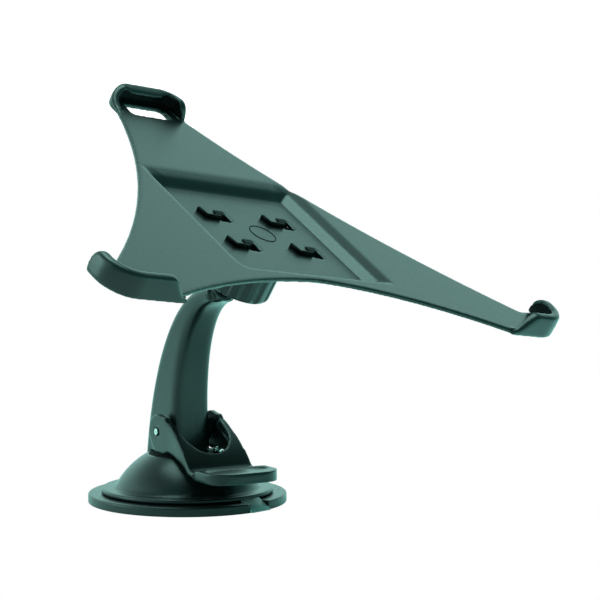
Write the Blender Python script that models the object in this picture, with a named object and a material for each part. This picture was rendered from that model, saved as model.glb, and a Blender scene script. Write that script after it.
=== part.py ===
"""Windscreen suction mount with a curved arm, a ball head and a three-point tablet cradle.

Sizes are in millimetres and angles in degrees; the scene is in metres. The origin is the middle of the
pad's underside, +Z is up and -Y is the side of the lever. The head is drawn in its own frame, with the
ball's centre as its origin, +Z out of the cradle and +Y towards the top clip.
"""

from math import asin, cos, pi, radians, sin, sqrt

import bmesh
import bpy
from mathutils import Matrix, Vector

MM = 0.001
CLEARANCE = 0.3
ROUND_STEPS = 48

# Suction foot
PAD_DIAMETER = 85.0
PAD_RIM = 3.0
PAD_MIDDLE = 4.5
PAD_EDGE = 0.7
TONGUE_WIDTH = 11.0
TONGUE_REACH = 0.8
TONGUE_RISE = 3.2
TONGUE_TURN = 17.0
CORE_DIAMETER = 20.0
CORE_FLOOR = 0.9
CORE_SOCKET = 1.2

# Dome
FLANGE_INSET = 5.7
FLANGE_HEIGHT = 2.6
FLANGE_LIFT = 0.9
FLANGE_LEDGE = 6.4
SEAT_WIDTH = 5.6
DOME_FLAT = 35.0
DOME_TOP = 20.6
DOME_WALL = 3.2
GUIDE_WALL = 3.4
GUIDE_DROP = 3.8

# Draw stem, cam and spring
STEM_DIAMETER = 5.2
EYE_WALL = 1.2
EYE_WIDTH = 6.8
CAM_DIAMETER = 7.4
CAM_THROW = 1.5
CAM_PHASE = 35.0
WIRE_DIAMETER = 1.4
SPRING_TURNS = 3.0
COIL_GAP = 0.6
WASHER_THICKNESS = 0.8

# Screws: the two in the foot, then the small one in the core
SCREW_BACK = 14.6
SCREW_EDGE = 3.1
SCREW_DIAMETER = 3.0
SCREW_HEAD = 5.4
SCREW_LENGTH = 10.0
SMALL_SCREW = 2.2
SMALL_HEAD = 4.2
SMALL_HEAD_HEIGHT = 1.2
SMALL_GRIP = 4.0

# Arm
FOOT_BACK = 8.2
ARM_RISE = 54.0
ARM_BEND = (-4.0, 88.0)
FOOT_DEPTH = 28.8
FOOT_WIDTH = 18.6
TIP_DEPTH = 7.0
TIP_WIDTH = 13.4
ARM_EDGE = 3.6
BOSS_DIAMETER = 10.4
BOSS_LENGTH = 5.6
BOSS_TAPER = 0.62

# Lever, with its places measured forwards and upwards from the pin
PIN_BACK = 1.2
PIN_LIFT = 10.0
PIN_DIAMETER = 3.0
PIN_PROUD = 0.5
CLIP_RING = 0.7
CLIP_RING_WIDTH = 1.6
EAR_GAP = 2.1
EAR_THICKNESS = 2.8
EAR_BELLY = ((3.2, -7.6), (13.2, -7.2), (25.2, -11.6))
EAR_LIFT = 2.2
EAR_BROW = (6.8, 6.6)
PIN_BOSS = 5.0
WEB_START = (9.2, 4.6)
WEB_CROWN = (21.2, -1.2)
WEB_REACH = 30.8
TAB_REACH = 56.6
TAB_DROP = 13.0
TAB_WIDTH = 30.8
FLARE_START = 10.0
FLARE_END = 36.0
LEVER_SKIN = 3.0
NOTCH_REACH = 25.5
TAB_OVAL = (26.6, 13.6)
TAB_OVAL_REACH = 44.8
TAB_OVAL_DEPTH = 0.8

# Ball head
BALL_CENTRE = (0.0, -44.0, 99.6)
BALL_DIAMETER = 17.0
STUD_DIAMETER = 6.8
STUD_NECK = 3.9
STUD_DEPTH = 4.6
STUD_STEP = 1.7
SLEEVE_WALL = 0.7
HEAD_LEAN = 27.9
HEAD_BEND = 30.1
HEAD_CANT = 12.5
HEAD_TURN = 7.1
NUT_WALL = 4.0
NUT_LIP = 1.7
NUT_FLUTES = 14
FLUTE_RADIUS = 2.6
FLUTE_DEPTH = 0.9
SOCKET_WALL = 2.6
RING_HEIGHT = 2.6
HEAD_PLATE = (56.0, 38.0, 3.7)

# Cradle
CRADLE_RISE = 25.0
CRADLE_SKIN = 2.0
PAN_SIDE = 78.0
PAN_DEPTH = 4.2
PAN_SLOPE = 7.0
PAN_CORNER = 6.0
CLAW_SPREAD = (35.0, 22.2)
CLAW_SHIFT = (5.35, 1.6)
CLAW_SIZE = (5.3, 2.6)
CLAW_HOOK = 3.2
CLAW_LIP = 1.8
CLAW_FALL = 0.9
RIB_SIZE = (5.4, 5.2, 1.5)
RIB_SHIFT = (-0.5, 2.9)
SLIDE_TRAVEL = 4.0
POCKET_WIDTH = 240.6
POCKET_BOTTOM = -66.0
POCKET_TOP = 100.2
TABLET_CORNER = 10.2
LIP_WALL = 2.8
LIP_HEIGHT = 8.4
LIP_HOOK = 1.6
LIP_FOOT = 28.3
LIP_SIDE = 15.5
LIP_STEP = 1.2
LIP_FOOT_END = (10.0, 0.5)
LIP_SIDE_END = (4.0, 0.55)
CLIP_WIDTH = 32.2
CLIP_HEIGHT = 7.5
CLIP_HOOK = 3.5
CLIP_LENGTH = 11.0
CLIP_CORNER = 7.6
CLIP_END = (17.0, 0.1)
CLIP_SLOT = (21.0, 9.0)
CLIP_SLOT_BACK = 8.0
WAIST_MARGIN = 2.9
SIDE_CURVE = ((0.224, 0.773), (0.424, 0.400))
WAIST_CURVE = 0.368


def clear_scene():
    for old in list(bpy.data.objects):
        bpy.data.objects.remove(old, do_unlink=True)


def material(node, substance, colour, roughness, metallic=0.0):
    made = bpy.data.materials.new(substance + " of " + node)
    made.use_nodes = True
    made.diffuse_color = (*colour, 1.0)
    shader = made.node_tree.nodes["Principled BSDF"]
    shader.inputs["Base Color"].default_value = (*colour, 1.0)
    shader.inputs["Roughness"].default_value = roughness
    shader.inputs["Metallic"].default_value = metallic
    return made


def add(name, bm, look, origin=(0, 0, 0), parent=None):
    """Makes an object of a mesh drawn in millimetres. A parent stands at the given origin."""
    bmesh.ops.recalc_face_normals(bm, faces=bm.faces)
    bmesh.ops.translate(bm, verts=bm.verts, vec=-Vector(origin))
    bmesh.ops.scale(bm, verts=bm.verts, vec=(MM, MM, MM))
    mesh = bpy.data.meshes.new(name)
    bm.to_mesh(mesh)
    bm.free()
    made = bpy.data.objects.new(name, mesh)
    bpy.context.scene.collection.objects.link(made)
    made.parent = parent
    if not parent:
        made.location = Vector(origin) * MM
    if look:
        mesh.materials.append(material(name, *look))
    return made


def helper(name, bm, parent=None):
    made = add(name, bm, None, parent=parent)
    made.hide_render = True
    made.display_type = "WIRE"
    return made


def combine(target, other, operation):
    step = target.modifiers.new(operation.title() + " " + other.name, "BOOLEAN")
    step.operation = operation
    step.solver = "EXACT"
    step.object = other


def cut(target, *others):
    for other in others:
        combine(target, other, "DIFFERENCE")


def join(target, *others):
    for other in others:
        combine(target, other, "UNION")


def keep(target, other):
    combine(target, other, "INTERSECT")


def arc(middle, radius, start, end, steps):
    """Points of a circular arc, from one angle to the other."""
    turns = [radians(start + (end - start) * i / steps) for i in range(steps + 1)]
    return [(middle[0] + radius * cos(t), middle[1] + radius * sin(t)) for t in turns]


def bezier(points, steps):
    """Points of a Bezier curve of any degree."""
    found = []
    for i in range(steps + 1):
        level = [Vector(p) for p in points]
        while len(level) > 1:
            level = [a.lerp(b, i / steps) for a, b in zip(level, level[1:])]
        found.append(tuple(level[0]))
    return found


def rounded(corners, radius, steps=4):
    """A closed outline with each corner rounded by a tangent curve."""
    found = []
    count = len(corners)
    for i in range(count):
        here = Vector(corners[i])
        before = (Vector(corners[i - 1]) - here).normalized() * radius
        after = (Vector(corners[(i + 1) % count]) - here).normalized() * radius
        found += bezier([here + before, here, here + after], steps)
    return found


def rectangle(width, depth, middle=(0, 0)):
    x, y = width / 2, depth / 2
    corners = [(-x, -y), (x, -y), (x, y), (-x, y)]
    return [(middle[0] + a, middle[1] + b) for a, b in corners]


def prism(outline, low, high, axes=(0, 1, 2), edge=0.0):
    """An outline pulled along the third of the axes, with its end edges rounded when edge is given."""
    bm = bmesh.new()
    corners = []
    for a, b in outline:
        place = [0.0, 0.0, 0.0]
        place[axes[0]], place[axes[1]], place[axes[2]] = a, b, low
        corners.append(bm.verts.new(place))
    bmesh.ops.remove_doubles(bm, verts=bm.verts, dist=1e-4)
    corners = [v for v in corners if v.is_valid]
    face = bm.faces.new(corners)
    pulled = bmesh.ops.extrude_face_region(bm, geom=[face])["geom"]
    path = Vector((0, 0, 0))
    path[axes[2]] = high - low
    moved = [g for g in pulled if isinstance(g, bmesh.types.BMVert)]
    bmesh.ops.translate(bm, verts=moved, vec=path)
    bmesh.ops.recalc_face_normals(bm, faces=bm.faces)
    if edge:
        caps = [f for f in bm.faces if abs(f.normal[axes[2]]) > 0.9]
        rims = list({e for f in caps for e in f.edges})
        bmesh.ops.bevel(bm, geom=rims, offset=edge, segments=2, affect="EDGES", profile=0.5)
    return bm


def revolve(profile, steps=ROUND_STEPS):
    """A closed profile of (radius, height) points turned round the Z axis."""
    bm = bmesh.new()
    line = [bm.verts.new((r, 0, z)) for r, z in profile]
    edges = [bm.edges.new((a, b)) for a, b in zip(line, line[1:] + line[:1])]
    bmesh.ops.spin(
        bm, geom=line + edges, cent=(0, 0, 0), axis=(0, 0, 1), angle=2 * pi, steps=steps, use_merge=True
    )
    bmesh.ops.remove_doubles(bm, verts=bm.verts, dist=1e-4)
    bmesh.ops.dissolve_degenerate(bm, edges=bm.edges, dist=1e-5)
    return bm


def loft(rings):
    """Skins rings that have equal numbers of points and closes both ends."""
    bm = bmesh.new()
    rows = [[bm.verts.new(p) for p in ring] for ring in rings]
    for low, high in zip(rows, rows[1:]):
        for i in range(len(low)):
            j = (i + 1) % len(low)
            bm.faces.new((low[i], low[j], high[j], high[i]))
    bm.faces.new(rows[0])
    bm.faces.new(rows[-1])
    return bm


def rod(radius, start, end, steps=24, end_radius=None):
    """A round bar between two points, tapered when an end radius is given."""
    bm = bmesh.new()
    line = Vector(end) - Vector(start)
    turn = line.to_track_quat("Z", "Y").to_matrix().to_4x4()
    place = Matrix.Translation((Vector(start) + Vector(end)) / 2) @ turn
    bmesh.ops.create_cone(
        bm,
        cap_ends=True,
        segments=steps,
        radius1=radius,
        radius2=radius if end_radius is None else end_radius,
        depth=line.length,
        matrix=place,
    )
    return bm


def box(low, high):
    middle = ((low[0] + high[0]) / 2, (low[1] + high[1]) / 2)
    return prism(rectangle(high[0] - low[0], high[1] - low[1], middle), low[2], high[2])


def wall(path, thickness, hook, heights, low, hook_rise, level):
    """A wall along a plan path, outside of it, with an inward hook along its top edge."""
    rings = []
    for i, here in enumerate(path):
        before = Vector(path[max(i - 1, 0)])
        after = Vector(path[min(i + 1, len(path) - 1)])
        run = (after - before).normalized()
        out = Vector((run.y, -run.x))
        top = heights[i]
        share = (top - level) / (max(heights) - level)
        section = [
            (0.0, low),
            (thickness * 0.7, low),
            (thickness, low + 0.9),
            (thickness, top - 0.9),
            (thickness * 0.6, top),
            (-hook * share + 0.4, top),
            (-hook * share, top - hook_rise * 0.5),
            (0.0, top - hook_rise * 1.3),
        ]
        rings.append([(here[0] + out.x * d, here[1] + out.y * d, z) for d, z in section])
    return loft(rings)


def lean_frame(lean, cant, turn):
    """The head's turn: about its own normal, then sideways, then forwards."""
    forward = Matrix.Rotation(radians(lean), 3, "X")
    sideways = Matrix.Rotation(radians(cant), 3, "Y")
    spin = Matrix.Rotation(radians(turn), 3, "Z")
    return forward @ sideways @ spin


pad_radius = PAD_DIAMETER / 2
flange_radius = pad_radius - FLANGE_INSET
ball_radius = BALL_DIAMETER / 2
pin_radius = PIN_DIAMETER / 2
stem_radius = STEM_DIAMETER / 2
cam_radius = CAM_DIAMETER / 2
seat_level = PAD_RIM + CLEARANCE
flange_low = seat_level + FLANGE_LIFT
flange_high = flange_low + FLANGE_HEIGHT
foot_radius = flange_radius - FLANGE_LEDGE
foot_level = flange_high + 0.8
flat_radius = DOME_FLAT / 2
dome_middle = (flat_radius**2 + DOME_TOP**2 - foot_radius**2 - foot_level**2) / (2 * (DOME_TOP - foot_level))
dome_radius = sqrt(flat_radius**2 + (DOME_TOP - dome_middle) ** 2)
guide_radius = stem_radius + CLEARANCE
arm_half = FOOT_WIDTH / 2
screw_side = arm_half - SCREW_EDGE
screw_seat = DOME_TOP - DOME_WALL + 0.4
ear_inner = arm_half + EAR_GAP
ear_outer = ear_inner + EAR_THICKNESS
pin_height = DOME_TOP + PIN_LIFT
pin_point = (0.0, PIN_BACK, pin_height)
lobe_radius = PIN_LIFT - CLEARANCE - EAR_LIFT
tab_top = pin_height - TAB_DROP
cam_back = PIN_BACK + CAM_THROW * cos(radians(CAM_PHASE))
cam_height = pin_height + CAM_THROW * sin(radians(CAM_PHASE))
eye_radius = cam_radius + CLEARANCE + CAM_THROW * (1 - cos(radians(CAM_PHASE))) / 2
eye_back = PIN_BACK + CAM_THROW * (1 + cos(radians(CAM_PHASE))) / 2
core_low = PAD_MIDDLE + CLEARANCE
core_shelf = core_low + SMALL_HEAD_HEIGHT + CLEARANCE
core_socket = core_shelf + CORE_FLOOR
core_high = core_socket + CORE_SOCKET
stem_low = core_socket + CLEARANCE
stud_lean = radians(HEAD_LEAN + HEAD_BEND)
stud_line = Vector((0, -sin(stud_lean), cos(stud_lean)))
ball_point = Vector(BALL_CENTRE)
boss_face = ball_point - stud_line * (ball_radius + STUD_NECK)
boss_low = boss_face - stud_line * BOSS_LENGTH
arm_tip = boss_face - stud_line * BOSS_LENGTH * BOSS_TAPER
stud_hole_end = boss_face - stud_line * STUD_DEPTH
stud_shank = STUD_DIAMETER / 2 - STUD_STEP
sleeve_radius = stud_shank + CLEARANCE + SLEEVE_WALL


def dome_curve(offset=0.0, steps=8):
    """Profile of the dome's top, from its flat to its foot, moved outwards by an offset."""
    radius = dome_radius + offset
    start = asin((DOME_TOP + offset - dome_middle) / radius)
    end = asin((foot_level - dome_middle) / radius)
    turns = [start + (end - start) * i / steps for i in range(steps + 1)]
    return [(radius * cos(t), radius * sin(t) + dome_middle) for t in turns]


def make_pad(rubber):
    radius = pad_radius
    profile = [(0, 0), (radius - PAD_EDGE, 0), (radius, PAD_EDGE), (radius, PAD_RIM - PAD_EDGE)]
    profile += [(radius - PAD_EDGE, PAD_RIM), (flange_radius - SEAT_WIDTH - 3, PAD_RIM)]
    profile += [(flange_radius - SEAT_WIDTH - 5, PAD_MIDDLE), (0, PAD_MIDDLE)]
    pad = add("suction_pad", revolve(profile, 64), rubber)
    inner = flange_radius + 1.2
    tongue = [(inner, PAD_RIM - 1), (inner, PAD_RIM + TONGUE_RISE)]
    tongue += [(inner + 2.4, PAD_RIM + TONGUE_RISE), (radius + TONGUE_REACH, PAD_EDGE + 1)]
    tongue += [(radius + TONGUE_REACH, PAD_EDGE), (radius - 2, PAD_EDGE)]
    shape = prism(tongue, -TONGUE_WIDTH / 2, TONGUE_WIDTH / 2, axes=(0, 2, 1), edge=0.5)
    turn = Matrix.Rotation(radians(TONGUE_TURN - 90), 3, "Z")
    bmesh.ops.rotate(shape, verts=shape.verts, cent=(0, 0, 0), matrix=turn)
    join(pad, helper("pad_tongue", shape))


def make_core(plastic, steel):
    """The disc under the stem, held to it by a screw from below."""
    radius = CORE_DIAMETER / 2
    profile = [(0, core_low), (radius - 0.5, core_low), (radius, core_low + 0.5)]
    profile += [(radius, core_high - 0.4), (radius - 0.4, core_high), (0, core_high)]
    core = add("pad_core", revolve(profile, 32), plastic)
    top = stem_low + SMALL_GRIP
    cut(
        core,
        helper("core_socket", rod(stem_radius + CLEARANCE, (0, 0, core_socket), (0, 0, core_high + 1))),
        helper("core_shelf", rod(SMALL_HEAD / 2 + CLEARANCE, (0, 0, 0), (0, 0, core_shelf), 16)),
        helper("core_hole", rod(SMALL_SCREW / 2 + CLEARANCE, (0, 0, 0), (0, 0, core_high), 12)),
    )
    head_top = core_shelf - CLEARANCE
    screw = add("core_screw", rod(SMALL_SCREW / 2, (0, 0, core_low + 0.4), (0, 0, top), 12), steel)
    join(screw, helper("core_screw_head", rod(SMALL_HEAD / 2, (0, 0, core_low), (0, 0, head_top), 16)))


def make_stem(plastic):
    """A round stem with a set-back eye block that the cam turns in."""
    reach = eye_radius + EYE_WALL
    eye_low = cam_height - reach
    outline = rounded(rectangle(2 * reach, 2 * reach, (eye_back, cam_height)), 2.0)
    stem = add("draw_stem", prism(outline, -EYE_WIDTH / 2, EYE_WIDTH / 2, axes=(1, 2, 0)), plastic)
    shank = helper("stem_shank", rod(stem_radius, (0, 0, stem_low), (0, 0, eye_low + EYE_WALL * 0.8)))
    web = helper("stem_web", box((-1.6, 0, eye_low - 2.5), (1.6, eye_back + 2, eye_low + EYE_WALL / 2)))
    eye = rod(eye_radius, (-EYE_WIDTH, eye_back, cam_height), (EYE_WIDTH, eye_back, cam_height))
    tapped = rod(SMALL_SCREW / 2 + CLEARANCE, (0, 0, 0), (0, 0, stem_low + SMALL_GRIP + CLEARANCE), 12)
    join(stem, shank, web)
    cut(stem, helper("stem_eye", eye), helper("stem_tapped", tapped))


def make_spring(steel):
    """A helix of round wire between the core and the dome's ceiling."""
    wire = WIRE_DIAMETER / 2
    coil = guide_radius + GUIDE_WALL + CLEARANCE + wire
    low = core_high + CLEARANCE + wire
    high = DOME_TOP - DOME_WALL - 2 * CLEARANCE - WASHER_THICKNESS - wire
    turns = max(1.0, min(SPRING_TURNS, (high - low) / (WIRE_DIAMETER + COIL_GAP)))
    steps = round(18 * turns)
    rings = []
    for i in range(steps + 1):
        turn = 2 * pi * turns * i / steps
        out = Vector((cos(turn), sin(turn), 0))
        middle = out * coil + Vector((0, 0, low + (high - low) * i / steps))
        ring = []
        for k in range(8):
            around = 2 * pi * k / 8
            ring.append(middle + out * wire * cos(around) + Vector((0, 0, wire * sin(around))))
        rings.append(ring)
    add("return_spring", loft(rings), steel)
    top = DOME_TOP - DOME_WALL - CLEARANCE
    bottom = top - WASHER_THICKNESS
    hole = guide_radius + GUIDE_WALL + CLEARANCE
    outer = coil + wire + 0.6
    profile = [(hole, bottom), (outer, bottom), (outer, top), (hole, top)]
    add("spring_washer", revolve(profile, 32), steel)


def make_dome(plastic):
    """A hollow dome with a stepped flange and a guide for the stem."""
    outside = dome_curve()
    inside = dome_curve(-DOME_WALL, 5)
    ceiling = DOME_TOP - DOME_WALL
    boss = guide_radius + GUIDE_WALL
    seat = flange_radius - 2.0
    profile = [(guide_radius, DOME_TOP)] + outside
    profile += [(foot_radius + 0.8, flange_high), (flange_radius - 1.0, flange_high)]
    profile += [(flange_radius, flange_high - 0.8), (flange_radius, flange_low + 0.4)]
    profile += [(flange_radius - 0.5, flange_low), (seat + 0.4, flange_low)]
    profile += [(seat, seat_level), (seat - SEAT_WIDTH, seat_level)]
    profile += list(reversed(inside))
    profile += [(boss, ceiling), (boss, ceiling - GUIDE_DROP), (guide_radius, ceiling - GUIDE_DROP)]
    dome = add("base_dome", revolve(profile), plastic)
    for side in (-1, 1):
        x = side * screw_side
        hole = rod(SCREW_DIAMETER / 2 + CLEARANCE, (x, SCREW_BACK, 0), (x, SCREW_BACK, DOME_TOP + 5), 16)
        pocket = rod(SCREW_HEAD / 2 + CLEARANCE, (x, SCREW_BACK, 0), (x, SCREW_BACK, screw_seat), 16)
        cut(dome, helper(f"dome_hole_{side}", hole), helper(f"dome_pocket_{side}", pocket))


def make_screws(steel):
    """The screws that hold the arm on the dome, from below."""
    top = screw_seat - CLEARANCE
    for number, side in enumerate((-1, 1), 1):
        x = side * screw_side
        shank = rod(SCREW_DIAMETER / 2, (x, SCREW_BACK, top - 1), (x, SCREW_BACK, top + SCREW_LENGTH), 16)
        screw = add(f"foot_screw_{number}", shank, steel)
        head = rod(SCREW_HEAD / 2, (x, SCREW_BACK, top - 2.4), (x, SCREW_BACK, top), 16)
        join(screw, helper(f"screw_head_{number}", head))


def arm_section(t):
    """Middle, run, width and depth of the arm at a share of its length."""
    points = [(FOOT_BACK, DOME_TOP - 5), (FOOT_BACK + 0.5, ARM_RISE), ARM_BEND, arm_tip.yz]
    level = [Vector(p) for p in points]
    while len(level) > 2:
        level = [a.lerp(b, t) for a, b in zip(level, level[1:])]
    middle = level[0].lerp(level[1], t)
    run = (level[1] - level[0]).normalized()
    width = FOOT_WIDTH + (TIP_WIDTH - FOOT_WIDTH) * t
    depth = TIP_DEPTH + (FOOT_DEPTH - TIP_DEPTH) * (1 - t) ** 1.25
    return middle, run, width, depth


def make_arm(plastic):
    """A curved, tapering loft, hollowed for the stem's eye, with bosses for the pin and the ball stud."""
    rings = []
    stations = 32
    for i in range(stations + 1):
        middle, run, width, depth = arm_section(i / stations)
        back = Vector((run.y, -run.x))
        ring = []
        edge = min(ARM_EDGE, 0.45 * min(width, depth))
        for x, y in rounded(rectangle(width, depth), edge, 5):
            ring.append((x, middle.x + back.x * y, middle.y + back.y * y))
        rings.append(ring)
    arm = add("arm", loft(rings), plastic)
    boss = BOSS_DIAMETER / 2
    join(arm, helper("arm_boss", rod(boss * BOSS_TAPER, boss_low, boss_face, end_radius=boss)))
    for side in (-1, 1):
        inner, outer = side * (arm_half - 1), side * (ear_inner - CLEARANCE)
        pad = rod(PIN_BOSS, (inner, *pin_point[1:]), (outer, *pin_point[1:]), 32)
        join(arm, helper(f"arm_pin_boss_{side}", pad))
    curve = dome_curve(CLEARANCE)
    seat = [(0, 0), (0, curve[0][1])] + curve + [(curve[-1][0], 0)]
    reach = eye_radius + EYE_WALL + CLEARANCE
    half = EYE_WIDTH / 2 + CLEARANCE
    well = box((-half, eye_back - reach, 0), (half, eye_back + reach, cam_height + reach + CLEARANCE))
    cross = rod(pin_radius + CLEARANCE, (-2 * arm_half, *pin_point[1:]), (2 * arm_half, *pin_point[1:]))
    cut(
        arm,
        helper("arm_seat", revolve(seat)),
        helper("arm_well", well),
        helper("arm_bore", rod(stem_radius + CLEARANCE, (0, 0, 0), (0, 0, cam_height))),
        helper("arm_cross_hole", cross),
        helper("arm_stud_hole", rod(sleeve_radius + CLEARANCE, stud_hole_end, ball_point, 20)),
    )
    for side in (-1, 1):
        x = side * screw_side
        top = screw_seat + SCREW_LENGTH
        hole = rod(SCREW_DIAMETER / 2 + CLEARANCE, (x, SCREW_BACK, 0), (x, SCREW_BACK, top), 16)
        cut(arm, helper(f"arm_screw_hole_{side}", hole))


def from_pin(forward, up):
    """A place on the lever's side, from its distances to the pin."""
    return PIN_BACK - forward, pin_height + up


def lever_plan(inset=0.0, extra=None):
    """Plan of the lever: straight at the ears, flared to the tab, with a round or an open front."""
    ear = ear_outer - inset
    tab = TAB_WIDTH / 2 - inset
    start, end = PIN_BACK - FLARE_START, PIN_BACK - FLARE_END
    front = PIN_BACK - TAB_REACH
    flare = [(ear, start), (ear, start * 0.72 + end * 0.28), (tab, start * 0.4 + end * 0.6), (tab, end)]
    half = [(ear, PIN_BACK + lobe_radius + 3)] + bezier(flare, 10)
    if extra is None:
        half += bezier([(tab, end * 0.4 + front * 0.6), (tab, front), (tab * 0.6, front), (0, front)], 8)
    else:
        half += [(tab, front - extra), (0, front - extra)]
    return half + [(-x, y) for x, y in reversed(half[:-1])]


def web_line(depth):
    """Points of the web's outside, or of a line this far under it."""
    bend = (WEB_REACH, 0.6 - TAB_DROP)
    line = [Vector(p) for p in bezier([from_pin(*p) for p in (WEB_START, WEB_CROWN, bend)], 10)]
    moved = []
    for i, here in enumerate(line):
        run = (line[min(i + 1, len(line) - 1)] - line[max(i - 1, 0)]).normalized()
        moved.append(tuple(here + Vector((-run.y, run.x)) * depth))
    return moved


def make_lever(plastic, pivot):
    """Two ears and their side walls, joined by a notched web that runs out into the finger tab."""
    low = tab_top - LEVER_SKIN
    knee = PIN_BACK - WEB_REACH - 4.4
    front = PIN_BACK - TAB_REACH - 2
    skin = web_line(0.0) + [(knee + 3, tab_top + 0.1), (knee, tab_top), (front, tab_top)]
    skin += [(front, low), (knee, low)] + list(reversed(web_line(LEVER_SKIN)))
    pin = pin_point[1:]
    side = [from_pin(*EAR_BROW)] + arc(pin, lobe_radius, 112, -95, 18)
    side += bezier([from_pin(*p) for p in EAR_BELLY] + [(knee, low + 0.5)], 8)
    side += [(knee, tab_top - 0.6)] + list(reversed(web_line(0.6)))
    walls = helper("lever_walls", prism(side, -TAB_WIDTH, TAB_WIDTH, axes=(1, 2, 0)))
    cut(walls, helper("lever_hollow", prism(lever_plan(EAR_THICKNESS, 30), -10, pin_height + 30)))
    shape = helper("lever_shape", prism(skin, -TAB_WIDTH, TAB_WIDTH, axes=(1, 2, 0)))
    join(shape, walls)
    lever = add("lever", prism(lever_plan(), 0, pin_height + 20), plastic, pin_point, pivot)
    keep(lever, shape)
    half = ear_inner - 0.6
    bottom = PIN_BACK - NOTCH_REACH
    round_end = [(half, bottom + 11), (half, bottom + 4), (half / 2, bottom), (0, bottom)]
    notch = [(half, 40)] + bezier(round_end, 8)
    notch += [(-x, y) for x, y in reversed(notch[:-1])]
    oval = []
    for i in range(32):
        turn = 2 * pi * i / 32
        oval.append((TAB_OVAL[0] / 2 * cos(turn), PIN_BACK - TAB_OVAL_REACH + TAB_OVAL[1] / 2 * sin(turn)))
    hole = rod(pin_radius + CLEARANCE, (-2 * ear_outer, *pin), (2 * ear_outer, *pin))
    cut(
        lever,
        helper("lever_notch", prism(notch, 0, pin_height + 30)),
        helper("lever_oval", prism(oval, tab_top - TAB_OVAL_DEPTH, tab_top + 5)),
        helper("lever_pin_hole", hole),
    )


def make_pin_and_cam(steel, acetal, pivot):
    """The pin, the clip on its end, and the cam in its middle that draws the stem up."""
    pin = pin_point[1:]
    seat = ear_outer + CLEARANCE
    end = seat + CLIP_RING + PIN_PROUD
    add("lever_pin", rod(pin_radius, (-ear_outer - PIN_PROUD, *pin), (end, *pin)), steel, pin_point, pivot)
    ring = rod(pin_radius + CLIP_RING_WIDTH, (seat, *pin), (seat + CLIP_RING, *pin))
    clip = add("pin_clip", ring, steel, pin_point, pivot)
    gap = box((0, PIN_BACK - 0.8, pin_height), (2 * end, PIN_BACK + 0.8, pin_height + 3 * PIN_DIAMETER))
    grip = rod(pin_radius + CLEARANCE, (0, *pin), (2 * end, *pin))
    cut(clip, helper("clip_bore", grip), helper("clip_gap", gap))
    half = EYE_WIDTH / 2 - CLEARANCE / 2
    bush = rod(cam_radius, (-half, cam_back, cam_height), (half, cam_back, cam_height), 32)
    cam = add("cam_bush", bush, acetal, pin_point, pivot)
    cut(cam, helper("cam_bore", rod(pin_radius + CLEARANCE, (-EYE_WIDTH, *pin), (EYE_WIDTH, *pin))))


def make_stud(steel):
    """The ball on its neck, and the sleeve in the arm that its shank screws into."""
    bm = bmesh.new()
    bmesh.ops.create_uvsphere(bm, u_segments=32, v_segments=20, radius=ball_radius)
    turn = stud_line.to_track_quat("Z", "Y").to_matrix().to_4x4()
    bm.transform(Matrix.Translation(ball_point) @ turn)
    stud = add("ball_stud", bm, steel, ball_point)
    neck = helper("stud_neck", rod(STUD_DIAMETER / 2, boss_face + stud_line * CLEARANCE, ball_point))
    shank = helper("stud_shank", rod(stud_shank, stud_hole_end + stud_line * CLEARANCE, ball_point, 20))
    join(stud, neck, shank)
    start = stud_hole_end + stud_line * CLEARANCE
    sleeve = add("stud_sleeve", rod(sleeve_radius, start, boss_face, 20), steel)
    cut(sleeve, helper("sleeve_bore", rod(stud_shank + CLEARANCE, boss_low, ball_point, 20)))


def head_levels():
    """Heights in the head's frame: ring, nut and plate, from the ball up to the cradle's underside."""
    plate_top = CRADLE_RISE - PAN_DEPTH - CRADLE_SKIN - CLEARANCE
    plate_low = plate_top - HEAD_PLATE[2]
    ring_top = -CLEARANCE / 3
    ring_low = ring_top - RING_HEIGHT
    nut_low = ring_low - CLEARANCE - NUT_LIP
    return plate_top, plate_low, ring_top, ring_low, nut_low


def make_clamp(acetal, plastic, head):
    """The split ring under the ball and the fluted nut that presses it up."""
    plate_top, plate_low, ring_top, ring_low, nut_low = head_levels()
    socket = ball_radius + CLEARANCE + SOCKET_WALL
    bore = socket + CLEARANCE
    grip = ball_radius + CLEARANCE
    inside = []
    for i in range(5):
        z = ring_top + (ring_low - ring_top) * i / 4
        inside.append((sqrt(grip**2 - z**2), z))
    profile = [(socket, ring_top)] + inside + [(socket, ring_low)]
    ring = add("clamp_ring", revolve(profile, 40), acetal, parent=head)
    cut(ring, helper("ring_split", box((0, -0.6, ring_low - 1), (socket + 2, 0.6, ring_top + 1)), head))
    outer = bore + NUT_WALL
    top = plate_low - CLEARANCE
    lip = grip + 0.7
    profile = [(outer - 0.8, nut_low), (outer, nut_low + 0.8), (outer, top - 0.8), (outer - 0.8, top)]
    profile += [(bore, top), (bore, ring_low - CLEARANCE), (lip, ring_low - CLEARANCE), (lip, nut_low)]
    nut = add("clamp_nut", revolve(profile, 56), plastic, parent=head)
    bm = bmesh.new()
    for i in range(NUT_FLUTES):
        turn = 2 * pi * (i + 0.5) / NUT_FLUTES
        away = outer + FLUTE_RADIUS - FLUTE_DEPTH
        place = Matrix.Translation((away * cos(turn), away * sin(turn), (nut_low + top) / 2))
        bmesh.ops.create_cone(
            bm,
            cap_ends=True,
            segments=12,
            radius1=FLUTE_RADIUS,
            radius2=FLUTE_RADIUS,
            depth=top - nut_low + 4,
            matrix=place,
        )
    cut(nut, helper("nut_flutes", bm, head))


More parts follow.
